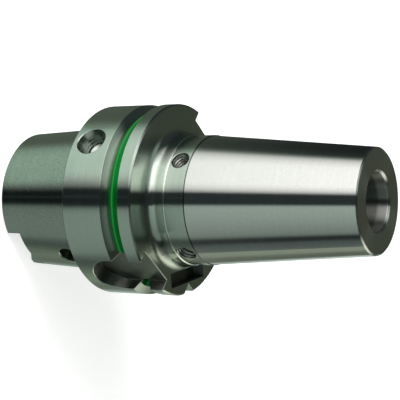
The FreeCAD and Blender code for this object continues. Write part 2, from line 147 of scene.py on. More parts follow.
class NodeTree:
    """The node tree of a material or of the world."""

    def __init__(self, tree: bpy.types.NodeTree) -> None:
        """Takes over a tree and empties it.

        Args:
            tree: The tree to build in.
        """
        self.tree = tree
        self.tree.nodes.clear()

    def node(self, kind: str, settings: dict[str, Any] | None = None,
             inputs: dict[Any, Any] | None = None, output: Any = 0) -> Socket:
        """Adds one node: its settings first, then its sockets.

        Args:
            kind: The node's type.
            settings: Its properties. The key stops sets a ramp's stops as (place, colour) pairs.
            inputs: Values or Sockets for its inputs, by name or number.
            output: The name or number of the output that is returned.

        Returns:
            The chosen output.
        """
        made = self.tree.nodes.new(kind)
        for name, value in (settings or {}).items():
            if name == "stops":
                self._set_stops(made.color_ramp, value)
            else:
                setattr(made, name, value)
        for name, value in (inputs or {}).items():
            if isinstance(value, Socket):
                self.tree.links.new(value.output, made.inputs[name])
            else:
                made.inputs[name].default_value = value
        return Socket(self, made.outputs[output] if made.outputs else None)

    @staticmethod
    def _set_stops(ramp: bpy.types.ColorRamp, stops: list[tuple[float, Colour]]) -> None:
        """Gives a ramp the stops, in rising order of place."""
        while len(ramp.elements) > 1:
            ramp.elements.remove(ramp.elements[-1])
        ramp.elements[0].position = stops[0][0]
        ramp.elements[0].color = (*stops[0][1], 1.0)
        for place, colour in stops[1:]:
            ramp.elements.new(place).color = (*colour, 1.0)

    def place(self) -> tuple[Socket, Socket, Socket, Socket]:
        """The point on the piece.

        Returns:
            The point itself, and its X, Y and Z.
        """
        point = self.node("ShaderNodeTexCoord", output="Object")
        split = self.node("ShaderNodeSeparateXYZ", inputs={0: point})
        parts = split.output.node.outputs
        return point, Socket(self, parts[0]), Socket(self, parts[1]), Socket(self, parts[2])

    def noise(self, vector: Socket, scale: float, detail: float = 2.0, rough: float = 0.5) -> Socket:
        """Noise from 0 to 1 with its middle near 0.5."""
        return self.node("ShaderNodeTexNoise", {},
                         {"Vector": vector, "Scale": scale, "Detail": detail, "Roughness": rough})

    def vector(self, x: Any, y: Any, z: Any) -> Socket:
        """A vector made of three values."""
        return self.node("ShaderNodeCombineXYZ", {}, {0: x, 1: y, 2: z})

    def mix(self, share: Any, first: Any, second: Any) -> Socket:
        """A colour between two, first where the share is 0."""
        # The Mix node names its sockets alike for numbers, vectors and colours.
        factor, colour_a, colour_b, colour_out = 0, 6, 7, 2
        first, second = ((*c, 1.0) if isinstance(c, tuple) else c for c in (first, second))
        inputs = {factor: share, colour_a: first, colour_b: second}
        return self.node("ShaderNodeMix", {"data_type": "RGBA"}, inputs, colour_out)

    def bump(self, height: Socket, distance: float, normal: Socket | None = None) -> Socket:
        """A normal bent by a height in units of the distance."""
        inputs = {"Height": height, "Distance": distance, "Strength": 1.0}
        if normal is not None:
            inputs["Normal"] = normal
        return self.node("ShaderNodeBump", {}, inputs)

    def surface(self, shader: Socket) -> None:
        """Links a shader to the output."""
        self.node("ShaderNodeOutputMaterial", {}, {"Surface": shader})


def new_material(name: str) -> tuple[bpy.types.Material, NodeTree]:
    """An empty material and its tree."""
    material = bpy.data.materials.new(name)
    material.use_nodes = True
    return material, NodeTree(material.node_tree)


@dataclass(frozen=True)
class BodyPlaces:
    """Places on the chuck's body whose finish differs. Radii are distances from the axis.

    Attributes:
        flange: Radius inside which the keyways lie.
        key_floor: Distance of the keyways' floors from the middle plane between them.
        key_half: Half the width of the narrow keyway.
        key_more: How much further out each wall of the wide keyway stands.
        key_span: Heights between which the keyways lie.
        pocket_across: Distances from the axis between which the milled pocket lies.
        pocket_half: Half the pocket's length.
        pocket_span: Heights between which it lies.
        thread_height: Height of the balancing holes' axes.
        thread_half: How far the holes reach above and below that.
        thread_reach: Radii between which they lie.
        hollow: Radius inside which the hollow of the shank lies.
        hollow_span: Heights between which it lies.
        bore: Radius inside which the clamping bore lies.
        bore_floor: Height above which it lies.
        bore_shade_fade: Height where the painted shade inside it begins, and the one where it is full.
        chip_height: Height of the chip hole's axis.
        chip: Radius of that hole about its own axis.
        chip_mouth: Radius inside which the hole lies.
        shank_fade: Height where the shank's finish begins, and the one where it is full.
        rear_rim: Radius outside which the flange's rear edge lies.
        rear_shade_fade: Height where the painted dark line of shade on that edge begins, and the one
            where it is full.
        corner_rim: Radius outside which the painted dark line of shade at the cone's corner lies.
    """

    flange: float = 31.3 * MM
    key_floor: float = 26.4 * MM
    key_half: float = 8.05 * MM
    key_more: float = 1.0 * MM
    key_span: Span = (4.6 * MM, 25.9 * MM)
    pocket_across: Span = (22.5 * MM, 27.8 * MM)
    pocket_half: float = 10.6 * MM
    pocket_span: Span = (21.9 * MM, 25.8 * MM)
    thread_height: float = 35.35 * MM
    thread_half: float = 3.1 * MM
    thread_reach: Span = (12.0 * MM, 20.9 * MM)
    hollow: float = 20.6 * MM
    hollow_span: Span = (-31.0 * MM, 34.1 * MM)
    bore: float = 9.1 * MM
    bore_floor: float = 34.0 * MM
    bore_shade_fade: Span = (91.8 * MM, 90.4 * MM)
    chip_height: float = 7.1 * MM
    chip: float = 5.2 * MM
    chip_mouth: float = 31.2 * MM
    shank_fade: Span = (0.2 * MM, -0.2 * MM)
    rear_rim: float = 30.5 * MM
    rear_shade_fade: Span = (0.48 * MM, 0.26 * MM)
    corner_rim: float = 20.0 * MM


@dataclass(frozen=True)
class SteelMarksAndPaintedLight:
    """How strongly the marks of making and use show on the steel, and how strong its painted shade and
    painted highlights are.

    Attributes:
        base: Brightness before any mark.
        uneven: How far streaks and clouds change the brightness.
        speckle: How far the grain changes it.
        shank_speckle: How much further it does so on the shank.
        chip_hole_shade: Share of the brightness taken away by painted shade inside the chip hole.
        shank_loss: Share that the shank loses.
        rear_edge_shade: Share of brightness taken away by the painted shade on the flange's rear edge.
        corner_line_shade: Share of brightness taken away by the painted dark line of shade at the cone's
            corner.
        corner_shade_fade: Distance from the corner where that painted line begins, and where it is full.
        painted_highlight: Share of brightness added by a painted highlight, a thin bright line along an
            edge.
        painted_highlight_fade: Distance from the edge where that painted highlight begins, and where it
            is full.
        cone_fade: How far the change to the cone's finish reaches each side of the corner.
        rough_uneven: How far streaks and clouds change the roughness.
        rough_grain: How far the grain changes it.
        rough_skin: Roughness that the skin adds, and the clamping bore too.
        skin_and_shade_cover: How much of the steel the skin, and the painted shade in the clamping bore,
            cover.
        skin_uneven: How far clouds change that.
        grain_height: Height of the grain, as a share of the lay's.
    """

    base: float = 0.93
    uneven: float = 0.10
    speckle: float = 0.24
    shank_speckle: float = 0.5
    chip_hole_shade: float = 0.25
    shank_loss: float = 0.22
    rear_edge_shade: float = 0.5
    corner_line_shade: float = 0.7
    corner_shade_fade: Span = (0.24 * MM, 0.08 * MM)
    painted_highlight: float = 0.8
    painted_highlight_fade: Span = (0.28 * MM, 0.10 * MM)
    cone_fade: float = 0.3 * MM
    rough_uneven: float = 0.05
    rough_grain: float = 0.02
    rough_skin: float = 0.16
    skin_and_shade_cover: float = 0.75
    skin_uneven: float = 0.5
    grain_height: float = 0.2


@dataclass(frozen=True)
class Spot:
    """The point on the steel that is shaded, and the noises there, which vary about 0.

    Attributes:
        x: X of the point.
        y: Y of the point.
        z: Its height.
        radius: Its distance from the axis.
        streaks: Noise in rings round the axis.
        cloud: Broad noise.
        grain: Fine noise.
    """

    x: Socket
    y: Socket
    z: Socket
    radius: Socket
    streaks: Socket
    cloud: Socket
    grain: Socket

    @classmethod
    def on(cls, tree: NodeTree) -> Spot:
        """Reads the point in a tree and adds its noises.

        Args:
            tree: The tree of the material.

        Returns:
            The point.
        """
        point, x, y, z = tree.place()
        radius = (x * x + y * y).root()
        rings = tree.vector(radius / MM, 0.0, z / MM)
        streaks = tree.noise(rings, scale=0.9, detail=3.0, rough=0.55) - NOISE_MIDDLE
        cloud = tree.noise(point, scale=60.0, detail=3.0, rough=0.6) - NOISE_MIDDLE
        grain = tree.noise(point, scale=2600.0, detail=2.0, rough=0.6) - NOISE_MIDDLE
        return cls(x, y, z, radius, streaks, cloud, grain)


@dataclass(frozen=True)
class TurnedSteel:
    """Hardened steel, turned and ground, with a lay that runs round the axis.

    Attributes:
        colour: Colour of its reflections on the cone.
        ground: Colour of its reflections on the ground parts below the cone.
        skin: Colour of the hardening skin that stays where no grinding wheel reaches, also used as
            painted shade inside the clamping bore.
        roughness: Roughness of the cone.
        ground_roughness: Roughness of the ground parts.
        stretch: How much more the lay scatters along the axis than round it.
        lay_pitch: Distance between the strongest marks of the lay.
        lay_depth: Height of those marks.
        lay_turn: Turn of the scatter, as a share of a full turn, that lays it along the axis.
        edge_radius: Radius to which the eye sees a sharp edge broken.
        edge_samples: Samples taken to round that edge.
        places: Where on the body the finish differs.
        marks: How strongly its marks show, and its painted shade and painted highlights.
    """

    colour: Colour = (0.60, 0.62, 0.585)
    ground: Colour = (0.505, 0.57, 0.505)
    skin: Colour = (0.122, 0.126, 0.113)
    roughness: float = 0.18
    ground_roughness: float = 0.17
    stretch: float = 1.0
    lay_pitch: float = 0.16 * MM
    lay_depth: float = 0.0012 * MM
    lay_turn: float = 0.25
    edge_radius: float = 0.28 * MM
    edge_samples: int = 4
    places: BodyPlaces = BodyPlaces()
    marks: SteelMarksAndPaintedLight = SteelMarksAndPaintedLight()

    def _skin_and_shade(self, spot: Spot) -> Socket:
        """How much hardening skin and painted shade there is, from 0 to 1.

        Args:
            spot: The point.

        Returns:
            1 where hardening skin is left, in the keyways, the milled pocket, the balancing holes and
            the hollow of the shank, and 1 as painted shade in the clamping bore below its mouth.
        """
        at, x, y, z = self.places, spot.x, spot.y, spot.z
        wall = at.key_half + (x < 0.0) * at.key_more
        keyway = (abs(x) > at.key_floor) * (abs(y) < wall) * (spot.radius < at.flange)
        keyway = keyway * z.within(*at.key_span)
        across = (x + y) / math.sqrt(2)
        along = abs(x - y) / math.sqrt(2)
        pocket = across.within(*at.pocket_across) * (along < at.pocket_half) * z.within(*at.pocket_span)
        thread = (abs(z - at.thread_height) < at.thread_half) * spot.radius.within(*at.thread_reach)
        hollow = z.within(*at.hollow_span) * (spot.radius < at.hollow)
        # Painted shade: the clamping bore is darker below its mouth, where the rim shades the wall.
        bore_shade = (spot.radius < at.bore) * z.between(*at.bore_shade_fade)
        return keyway.most(pocket).most(thread).most(hollow).most(bore_shade)

    def _chip_hole(self, spot: Spot) -> tuple[Socket, Socket]:
        """Finds the chip hole, which is drilled from the side.

        Args:
            spot: The point.

        Returns:
            1 in the hole and 0 elsewhere, and the distance from the hole's own axis.
        """
        above = spot.z - self.places.chip_height
        off_axis = (spot.x * spot.x + above * above).root()
        side = (spot.y < 0.0) * (spot.radius < self.places.chip_mouth)
        return side * (off_axis < self.places.chip), off_axis

    def _height(self, tree: NodeTree, spot: Spot, skin: Socket) -> Socket:
        """Height of the lay and the grain. In the chip hole the lay runs round the hole's own axis.

        Args:
            tree: The tree of the material.
            spot: The point.
            skin: How much hardening skin and painted shade there is.

        Returns:
            The height, in units of the lay's depth.
        """
        chip, off_axis = self._chip_hole(spot)
        reach = spot.radius + chip * (off_axis - spot.radius)
        depth = spot.z + chip * (spot.y - spot.z)
        rings = tree.vector(reach / self.lay_pitch, 0.0, depth / self.lay_pitch)
        lay = tree.noise(rings, scale=1.0, detail=3.0, rough=0.6)
        return lay + spot.grain * (self.marks.grain_height + skin)

    def _shade(self, spot: Spot, corner: float, rim: float) -> Socket:
        """How bright the steel is, with its marks and its painted shade and highlights.

        Args:
            spot: The point.
            corner: Height of the corner where the smooth cone begins.
            rim: Height of the edge that gets a painted highlight line.

        Returns:
            The factor for the steel's colour.
        """
        at, marks = self.places, self.marks
        # Painted shade: the inside of the chip hole is darker.
        chip, _ = self._chip_hole(spot)
        shank = spot.z.between(*at.shank_fade)
        # Painted shade: a dark line on the flange's rear edge, which faces down.
        rear = spot.z.between(*at.rear_shade_fade) * (spot.radius > at.rear_rim)
        # Painted shade: a dark line at the cone's corner, where the band steps down to the cone.
        line = abs(spot.z - corner).between(*marks.corner_shade_fade) * (spot.radius > at.corner_rim)
        # Painted highlight: a thin bright line along the edge at the rim's height.
        highlight_line = abs(spot.z - rim).between(*marks.painted_highlight_fade)
        shade = marks.base + (spot.streaks + spot.cloud) * marks.uneven
        shade = shade + spot.grain * (marks.speckle + shank * marks.shank_speckle)
        losses = ((chip, marks.chip_hole_shade), (line, marks.corner_line_shade),
                  (shank, marks.shank_loss), (rear, marks.rear_edge_shade))
        for place, loss in losses:
            shade = shade * (1 - place * loss)
        return shade * (1 + highlight_line * marks.painted_highlight)

    def material(self, name: str, corner: float, rim: float) -> bpy.types.Material:
        """Builds the steel.

        Args:
            name: The material's name.
            corner: Height of the corner where the ground steel ends and the smooth cone begins.
            rim: Height of the edge that gets a painted highlight line.

        Returns:
            The material.
        """
        material, tree = new_material(name)
        spot, marks = Spot.on(tree), self.marks
        skin = self._skin_and_shade(spot)
        cone = spot.z.between(corner - marks.cone_fade, corner + marks.cone_fade)
        bore = (spot.radius < self.places.bore) * (spot.z > self.places.bore_floor)
        rough = self.ground_roughness + cone * (self.roughness - self.ground_roughness)
        rough = rough + (spot.streaks + spot.cloud) * marks.rough_uneven + spot.grain * marks.rough_grain
        rough = rough + (skin + bore) * marks.rough_skin
        metal = tree.mix(cone, self.ground, self.colour)
        shade = self._shade(spot, corner, rim)
        bright = tree.node("ShaderNodeVectorMath", {"operation": "SCALE"}, {0: metal, "Scale": shade})
        # The skin colour darkens the hardening skin and paints shade inside the clamping bore.
        tint = tree.mix(skin * (marks.skin_and_shade_cover + spot.cloud * marks.skin_uneven), bright, self.skin)
        broken = tree.node("ShaderNodeBevel", {"samples": self.edge_samples},
                           {"Radius": self.edge_radius})
        normal = tree.bump(self._height(tree, spot, skin), self.lay_depth, broken)
        steel = tree.node("ShaderNodeBsdfPrincipled", {}, {
            "Base Color": tint, "Metallic": 1.0, "Roughness": rough, "Normal": normal,
            "Anisotropic": self.stretch, "Anisotropic Rotation": self.lay_turn})
        tree.surface(steel)
        return material


@dataclass(frozen=True)
class BandLacquer:
    """Glossy green of the marker bands, a little uneven in its gloss, with a painted highlight line
    along the crown.

    Attributes:
        colour: The green.
        gloss: Colour of what it reflects.
        crest: The lighter green of a painted highlight line along the crown.
        roughness: Its roughness.
        rough_uneven: How far clouds change that.
        shine: Strength of what it reflects.
        lighter: How much brighter the green is in a cloud.
        cloud_floor: Value of the cloud noise at which that begins.
        cloud_share: How fast it comes in.
        crest_height: Height of the bands' crown.
        crest_highlight_fade: Distance from the crown where the painted highlight begins, and where it is
            full.
        crest_highlight_share: How much of the painted highlight's colour shows there.
        dust_height: Height of the dust under the gloss.
    """

    colour: Colour = (0.001, 0.062, 0.009)
    gloss: Colour = (0.05, 1.0, 0.22)
    crest: Colour = (0.02, 0.24, 0.035)
    roughness: float = 0.20
    rough_uneven: float = 0.10
    shine: float = 0.6
    lighter: float = 1.5
    cloud_floor: float = 0.3
    cloud_share: float = 0.5
    crest_height: float = 18.0 * MM
    crest_highlight_fade: Span = (0.55 * MM, 0.10 * MM)
    crest_highlight_share: float = 0.6
    dust_height: float = 0.004 * MM

    def material(self, name: str) -> bpy.types.Material:
        """Builds the lacquer.

        Args:
            name: The material's name.

        Returns:
            The material.
        """
        material, tree = new_material(name)
        point, _, _, z = tree.place()
        cloud = tree.noise(point, scale=180.0, detail=3.0, rough=0.6)
        dust = tree.noise(point, scale=1500.0, detail=2.0, rough=0.5)
        light = tuple(self.lighter * part for part in self.colour)
        tint = tree.mix((cloud - self.cloud_floor) * self.cloud_share, self.colour, light)
        # Painted highlight: a lighter green line along the crown of the band.
        crest = abs(z - self.crest_height).between(*self.crest_highlight_fade)
        tint = tree.mix(crest * self.crest_highlight_share, tint, self.crest)
        rough = self.roughness + (cloud - NOISE_MIDDLE) * self.rough_uneven
        green = tree.node("ShaderNodeBsdfPrincipled", {}, {
            "Base Color": tint, "Roughness": rough, "Normal": tree.bump(dust, self.dust_height),
            "Specular IOR Level": self.shine, "Specular Tint": (*self.gloss, 1.0)})
        tree.surface(green)
        return material


@dataclass(frozen=True)
class DarkSteel:
    """Steel with a black oxide skin, worn a little where it is handled.

    Attributes:
        colour: Colour of the oxide.
        worn: Colour of the steel that shows through.
        roughness: Roughness of the oxide.
        rough_uneven: How far the grain changes that.
        metallic: How metallic the oxide is.
        wear_fade: Values of the cloud noise between which the wear comes in.
        wear_share: How much of the worn colour shows there.
        grain_height: Height of the grain.
    """

    colour: Colour = (0.035, 0.037, 0.042)
    worn: Colour = (0.30, 0.30, 0.29)
    roughness: float = 0.38
    rough_uneven: float = 0.15
    metallic: float = 0.9
    wear_fade: Span = (0.60, 0.75)
    wear_share: float = 0.5
    grain_height: float = 0.003 * MM

    def material(self, name: str) -> bpy.types.Material:
        """Builds the oxide steel.

        Args:
            name: The material's name.

        Returns:
            The material.
        """
        material, tree = new_material(name)
        point, *_ = tree.place()
        cloud = tree.noise(point, scale=240.0, detail=4.0, rough=0.65)
        grain = tree.noise(point, scale=2200.0, detail=2.0, rough=0.5)
        wear = cloud.between(*self.wear_fade) * self.wear_share
        steel = tree.node("ShaderNodeBsdfPrincipled", {}, {
            "Base Color": tree.mix(wear, self.colour, self.worn), "Metallic": self.metallic,
            "Roughness": self.roughness + (grain - NOISE_MIDDLE) * self.rough_uneven,
            "Normal": tree.bump(grain, self.grain_height)})
        tree.surface(steel)
        return material


@dataclass(frozen=True)
class SealRubber:
    """Matt black rubber with a faint bloom.

    Attributes:
        colour: The black.
        bloom: Colour of the bloom.
        bloom_fade: Values of the cloud noise between which the bloom comes in.
        roughness: Roughness where the noise is 0.
        rough_more: Roughness that is added where it is 1.
        skin_height: Height of the moulded skin's waves.
    """

    colour: Colour = (0.012, 0.012, 0.013)
    bloom: Colour = (0.045, 0.045, 0.047)
    bloom_fade: Span = (0.45, 0.75)
    roughness: float = 0.55
    rough_more: float = 0.2
    skin_height: float = 0.004 * MM

    def material(self, name: str) -> bpy.types.Material:
        """Builds the rubber.

        Args:
            name: The material's name.

        Returns:
            The material.
        """
        material, tree = new_material(name)
        point, *_ = tree.place()
        cloud = tree.noise(point, scale=300.0, detail=3.0, rough=0.6)
        rubber = tree.node("ShaderNodeBsdfPrincipled", {}, {
            "Base Color": tree.mix(cloud.between(*self.bloom_fade), self.colour, self.bloom),
            "Roughness": self.roughness + cloud * self.rough_more,
            "Normal": tree.bump(cloud, self.skin_height)})
        tree.surface(rubber)
        return material


def mesh_piece(name: str, points: np.ndarray, faces: np.ndarray, material: bpy.types.Material,
               body: str) -> bpy.types.Object:
    """Makes a piece from points and four-cornered faces and lets it ride on a body.

    Args:
        name: The piece's name.
        points: Its vertices, one row each.
        faces: Its faces, one row of four vertex numbers each.
        material: What it is made of.
        body: The CAD body that it moves with.

    Returns:
        The new object.
    """
    mesh = bpy.data.meshes.new(name)
    mesh.from_pydata(points.tolist(), [], faces.tolist())
    mesh.polygons.foreach_set("use_smooth", np.ones(len(faces), bool))
    mesh.materials.append(material)
    mesh.update()
    piece = bpy.data.objects.new(name, mesh)
    bpy.context.scene.collection.objects.link(piece)
    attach(piece, body)
    log.info("%s: %d faces on %s", name, len(faces), body)
    return piece


def ring_faces(rows: int, columns: int) -> np.ndarray:
    """Faces of a grid whose rows and columns both close into rings.

    Face (i, j) joins point (i, j) to its neighbours in row i + 1 and column j + 1, with both
    counted round the ring.

    Args:
        rows: Number of rows of points.
        columns: Number of columns of points.

    Returns:
        One row of four vertex numbers for each face.
    """
    i, j = np.meshgrid(np.arange(rows), np.arange(columns), indexing="ij")
    down, right = (i + 1) % rows, (j + 1) % columns
    corners = (i * columns + j, i * columns + right, down * columns + right, down * columns + j)
    return np.stack([corner.ravel() for corner in corners], axis=1)


def thread_form(turns: np.ndarray) -> np.ndarray:
    """Depth of a thread along its helix, from 0 at the crest to 1 at the root.

    The share of a turn is folded into a triangle wave, and its ends are cut flat: the crest takes
    an eighth of the pitch and the root a quarter, as on a metric thread.

    Args:
        turns: Number of turns along the helix, at each point.

    Returns:
        The depth at each point.
    """
    wave = 1 - 2 * np.abs(turns % 1.0 - 0.5)
    return np.clip((wave - CREST_FLAT) / (1 - CREST_FLAT - ROOT_FLAT), 0.0, 1.0)


@dataclass
class BalanceThreads:
    """The four radial threads on the band, each a sleeve of thread in its drilled hole.

    Attributes:
        height: Height of their axes.
        mouth: Distance of the band's surface from the chuck's axis.
        hole: Radius of the drilled hole in the solid, which is the thread's root.
        pitch: Pitch of the thread.
        first: Depth of the first full turn below the surface.
        last: Depth of the last turn.
        runout: Length over which the thread fades out, in pitches.
        depth_share: Height of the thread, as a share of the hole's radius.
        skin: Thickness of the sleeve behind the thread's root.
        columns: Points round the hole.
        rows_per_pitch: Rows of points down the hole for each pitch.
    """

    height: float
    mouth: float
    hole: float = 3.0 * MM
    pitch: float = 1.0 * MM
    first: float = 0.75 * MM
    last: float = 7.4 * MM
    runout: float = 0.5
    depth_share: float = 0.17
    skin: float = 0.02 * MM
    columns: int = 72
    rows_per_pitch: int = 10

    def sleeve(self, azimuth: float) -> np.ndarray:
        """Points of one sleeve.

        Down the hole the inner radius is the hole's radius less the thread's height times what
        the thread form leaves, and the thread's height fades in over the first turn and out over
        the last half. The outer wall closes the sleeve just inside the drilled hole.

        Args:
            azimuth: The way the hole points.

        Returns:
            The vertices, row by row down the inside and back up the outside.
        """
        depth = self.hole * self.depth_share
        count = round((self.last - self.first) / self.pitch * self.rows_per_pitch)
        down = np.linspace(self.first, self.last, count)[:, None]
        turn = np.linspace(0, 2 * np.pi, self.columns, endpoint=False)[None, :]
        form = 1 - thread_form(down / self.pitch + turn / (2 * np.pi))
        start = np.clip((down - self.first) / self.pitch, 0, 1)
        end = np.clip((self.last - down) / (self.runout * self.pitch), 0, 1)
        inner = self.hole - 2 * self.skin - depth * form * (start * end)
        outer = np.full_like(inner[:2], self.hole - self.skin)
        radius = np.concatenate([inner, outer])
        below = np.broadcast_to(np.concatenate([down, down[-1:], down[:1]]), radius.shape)
        out = self.mouth - below
        side, up = radius * np.cos(turn), radius * np.sin(turn)
        a = math.radians(azimuth)
        x = out * math.cos(a) - side * math.sin(a)
        y = out * math.sin(a) + side * math.cos(a)
        return np.stack([x, y, self.height + up], axis=-1).reshape(-1, 3)

    def build(self, material: bpy.types.Material) -> list[bpy.types.Object]:
        """Makes the four sleeves in a material and returns them."""
        made = []
        for word, azimuth in (("narrow_key_side", 0), ("index_side", 90),
                              ("wide_key_side", 180), ("chip_side", 270)):
            points = self.sleeve(azimuth)
            faces = ring_faces(len(points) // self.columns, self.columns)
            made.append(mesh_piece(f"balance_thread_{word}", points, faces, material,
                                   "chuck"))
        return made


class Tint(Enum):
    """Colour of a stripe of the studio at a brightness of 1."""

    WHITE = (1.02, 0.99, 0.99)
    COOL = (0.84, 1.0, 0.92)
    LEAF = (0.67, 1.0, 0.80)
    INK = (0.78, 1.0, 1.06)
    OLIVE = (0.84, 1.0, 0.79)
    CREAM = (1.0, 1.0, 0.88)
    UMBER = (0.90, 1.0, 0.76)


Stripes = tuple[tuple[float, Tint, float], ...]


@dataclass(frozen=True)
class Stripe:
    """Stripes of light round the chuck at four heights of view.

    Each stop is an angle round the chuck's axis, a tint and a brightness. The angle is 0 towards the
    camera and rises upwards in the picture. The brightness follows the bands on the steel. Overhead
    the angle is the one by which the way leans up or down in the picture.

    Attributes:
        low: Stripes that lie well below the level of the eye.
        level: Stripes a little below it.
        high: Stripes above it.
        overhead: Stripes over the chuck.
    """

    low: Stripes = (
        (-180, Tint.OLIVE, 0.17), (-168, Tint.OLIVE, 0.17), (-164, Tint.COOL, 0.5),
        (-153, Tint.COOL, 0.5), (-147, Tint.OLIVE, 0.22), (-128, Tint.OLIVE, 0.26),
        (-114, Tint.OLIVE, 0.41), (-102, Tint.OLIVE, 0.32), (-91, Tint.OLIVE, 0.18),
        (-84, Tint.INK, 0.16), (-77, Tint.COOL, 0.22), (-69, Tint.COOL, 0.38), (-40, Tint.COOL, 0.36),
        (-19, Tint.COOL, 0.30), (-14, Tint.COOL, 0.20), (-10, Tint.INK, 0.045),
        (-6, Tint.INK, 0.015), (1, Tint.INK, 0.015), (3, Tint.INK, 0.06), (5, Tint.INK, 0.015),
        (15, Tint.INK, 0.015), (20, Tint.LEAF, 0.08), (28, Tint.LEAF, 0.40), (36, Tint.LEAF, 0.56),
        (60, Tint.LEAF, 0.60), (80, Tint.LEAF, 0.60), (97, Tint.LEAF, 0.54),
        (106, Tint.OLIVE, 0.30), (116, Tint.OLIVE, 0.21), (180, Tint.OLIVE, 0.17))
    level: Stripes = (
        (-180, Tint.OLIVE, 0.06), (-168, Tint.OLIVE, 0.06), (-164, Tint.COOL, 0.9),
        (-153, Tint.COOL, 0.9), (-147, Tint.OLIVE, 0.12), (-126, Tint.OLIVE, 0.18),
        (-118, Tint.OLIVE, 0.39), (-109, Tint.OLIVE, 0.41), (-102, Tint.OLIVE, 0.22),
        (-98, Tint.INK, 0.12), (-86, Tint.INK, 0.11), (-82, Tint.INK, 0.02), (-74, Tint.INK, 0.02),
        (-70, Tint.COOL, 0.20), (-66, Tint.COOL, 0.31), (-29, Tint.COOL, 0.55),
        (-12, Tint.COOL, 0.63), (-10, Tint.COOL, 0.50), (-7, Tint.INK, 0.05),
        (11.5, Tint.INK, 0.045), (16, Tint.WHITE, 0.95), (21, Tint.WHITE, 1.42), (29, Tint.WHITE, 1.72),
        (70, Tint.WHITE, 1.72), (82, Tint.WHITE, 1.35), (89, Tint.WHITE, 0.95), (96, Tint.COOL, 0.20),
        (102, Tint.INK, 0.03), (122, Tint.INK, 0.015), (180, Tint.INK, 0.03))
    high: Stripes = (
        (-180, Tint.UMBER, 0.083), (-150, Tint.UMBER, 0.09), (-138, Tint.CREAM, 0.8),
        (-126, Tint.CREAM, 1.4), (-114, Tint.CREAM, 1.05), (-104, Tint.CREAM, 0.42),
        (-92, Tint.CREAM, 0.18),
        (-81, Tint.INK, 0.04), (-73, Tint.INK, 0.04), (-67, Tint.COOL, 0.27), (-30, Tint.COOL, 0.46),
        (-12, Tint.COOL, 0.52), (-8, Tint.INK, 0.04), (12, Tint.INK, 0.04), (18, Tint.WHITE, 1.3),
        (28, Tint.WHITE, 2.3), (60, Tint.WHITE, 2.3), (76, Tint.WHITE, 1.0), (88, Tint.WHITE, 0.3),
        (96, Tint.INK, 0.05), (140, Tint.INK, 0.05), (155, Tint.UMBER, 0.083),
        (180, Tint.UMBER, 0.083))
    overhead: Stripes = (
        (-60, Tint.OLIVE, 0.045), (-12, Tint.OLIVE, 0.045), (-7, Tint.INK, 0.03), (8, Tint.INK, 0.03),
        (13, Tint.COOL, 0.43), (60, Tint.COOL, 0.43))


